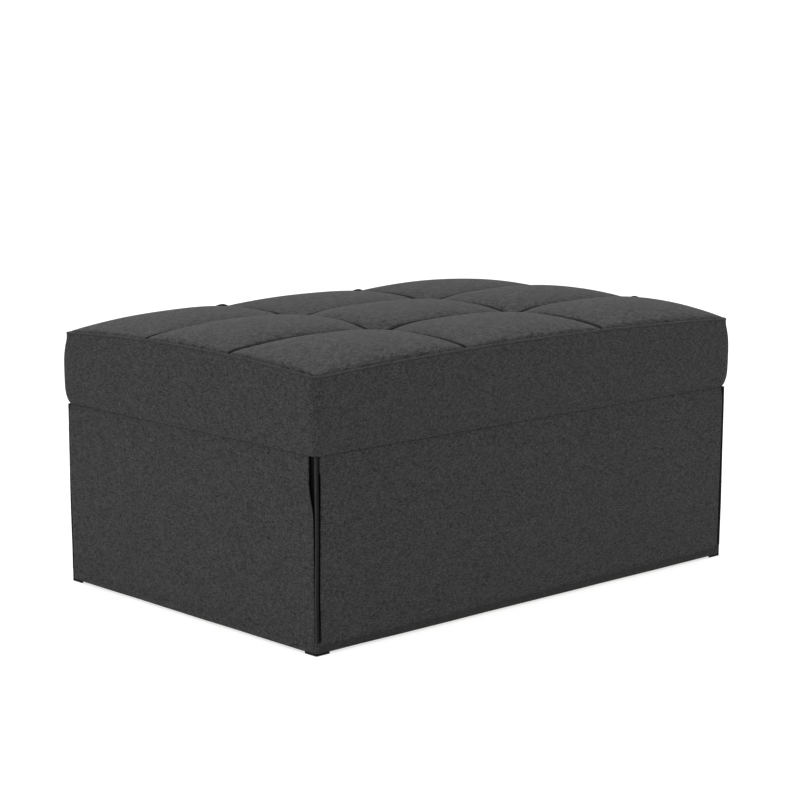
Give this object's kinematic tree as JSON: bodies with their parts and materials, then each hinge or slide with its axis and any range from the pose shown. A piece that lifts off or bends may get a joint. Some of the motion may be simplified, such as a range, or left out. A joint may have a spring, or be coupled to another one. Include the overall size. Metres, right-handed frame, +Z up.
{
  "type": "fold out ottoman guest bed",
  "caption": "Cube-like ottoman with a quilted slipcover over a folded guest bed. The cover lifts off, and hinged sections with pads unfold onto folding legs.",
  "frame": {"origin": "on the floor, at the middle of the footprint", "axes": "+X along the long side, +Z up; the bed unfolds towards -Y"},
  "size_m": [0.9962, 0.6642, 0.4795],
  "materials": {
    "quilted_cloth": "heathered plain weave, quilted over foam",
    "cover_cloth": "heathered plain weave",
    "pleat_cloth": "heathered plain weave, folded",
    "mattress_cloth": "brushed ticking",
    "frame_steel": "satin powder coat",
    "plate_steel": "satin powder coat",
    "hardware_steel": "zinc plated",
    "slat_wood": "clear varnished beech",
    "holder_plastic": "moulded, fine texture",
    "foot_rubber": "matte"
  },
  "bodies": {
    "base": {"base_feet": "foot_rubber", "base_hinge_plate_left": "plate_steel", "base_hinge_plate_right": "plate_steel", "base_leg_front_left": "frame_steel", "base_leg_front_right": "frame_steel", "base_leg_rear_left": "frame_steel", "base_leg_rear_right": "frame_steel", "base_mattress": "mattress_cloth", "base_rail_front": "frame_steel", "base_rail_left": "frame_steel", "base_rail_rear": "frame_steel", "base_rail_right": "frame_steel", "base_slat_holders": "holder_plastic", "base_slats": "slat_wood", "fold_pivot_bolts": "hardware_steel"},
    "middle": {"middle_hinge_leaves": "hardware_steel", "middle_hinge_plate_left": "plate_steel", "middle_hinge_plate_right": "plate_steel", "middle_leg_studs": "hardware_steel", "middle_mattress": "mattress_cloth", "middle_rail_front": "frame_steel", "middle_rail_left": "frame_steel", "middle_rail_rear": "frame_steel", "middle_rail_right": "frame_steel", "middle_slat_holders": "holder_plastic", "middle_slats": "slat_wood"},
    "top": {"hinge_pins": "hardware_steel", "top_hinge_leaves": "hardware_steel", "top_leg_studs": "hardware_steel", "top_mattress": "mattress_cloth", "top_rail_front": "frame_steel", "top_rail_left": "frame_steel", "top_rail_rear": "frame_steel", "top_rail_right": "frame_steel", "top_slat_holders": "holder_plastic", "top_slats": "slat_wood"},
    "middle_leg": {"middle_leg_bar": "frame_steel", "middle_leg_caps": "foot_rubber", "middle_leg_post_left": "frame_steel", "middle_leg_post_right": "frame_steel"},
    "top_leg": {"top_leg_bar": "frame_steel", "top_leg_caps": "foot_rubber", "top_leg_post_left": "frame_steel", "top_leg_post_right": "frame_steel"},
    "cover": {"boxing_front": "cover_cloth", "boxing_left": "cover_cloth", "boxing_rear": "cover_cloth", "boxing_right": "cover_cloth", "corner_tabs": "cover_cloth", "pleats_front": "pleat_cloth", "pleats_rear": "pleat_cloth", "skirt_front": "cover_cloth", "skirt_left": "cover_cloth", "skirt_rear": "cover_cloth", "skirt_right": "cover_cloth", "top_panel": "quilted_cloth", "top_welt": "cover_cloth"}
  },
  "joints": [
    {"name": "middle_fold", "type": "hinge", "parent": "base", "child": "middle", "pos_m": [0, -0.303, 0.2186], "axis": [1, 0, 0], "range_deg": [0, 180]},
    {"name": "top_fold", "type": "hinge", "parent": "middle", "child": "top", "pos_m": [0, 0.303, 0.3222], "axis": [1, 0, 0], "range_deg": [-180, 0]},
    {"name": "middle_leg_fold", "type": "hinge", "parent": "middle", "child": "middle_leg", "pos_m": [0, 0.26, 0.311], "axis": [1, 0, 0], "range_deg": [-90, 0]},
    {"name": "top_leg_fold", "type": "hinge", "parent": "top", "child": "top_leg", "pos_m": [0, -0.26, 0.3334], "axis": [1, 0, 0], "range_deg": [-90, 0]},
    {"name": "cover_lift", "type": "slide", "parent": "top", "child": "cover", "axis": [0, 0, 1], "range_m": [0, 0.6], "deforming": ["skirt_rear"]}
  ],
  "couplings": [
    {"joint": "top_fold", "follows": "middle_fold", "ratio": -1},
    {"joint": "middle_leg_fold", "follows": "middle_fold", "ratio": -0.5},
    {"joint": "top_leg_fold", "follows": "middle_fold", "ratio": -0.5},
    {"joint": "cover_lift", "follows": "middle_fold", "m_per_rad": 0.19098}
  ]
}
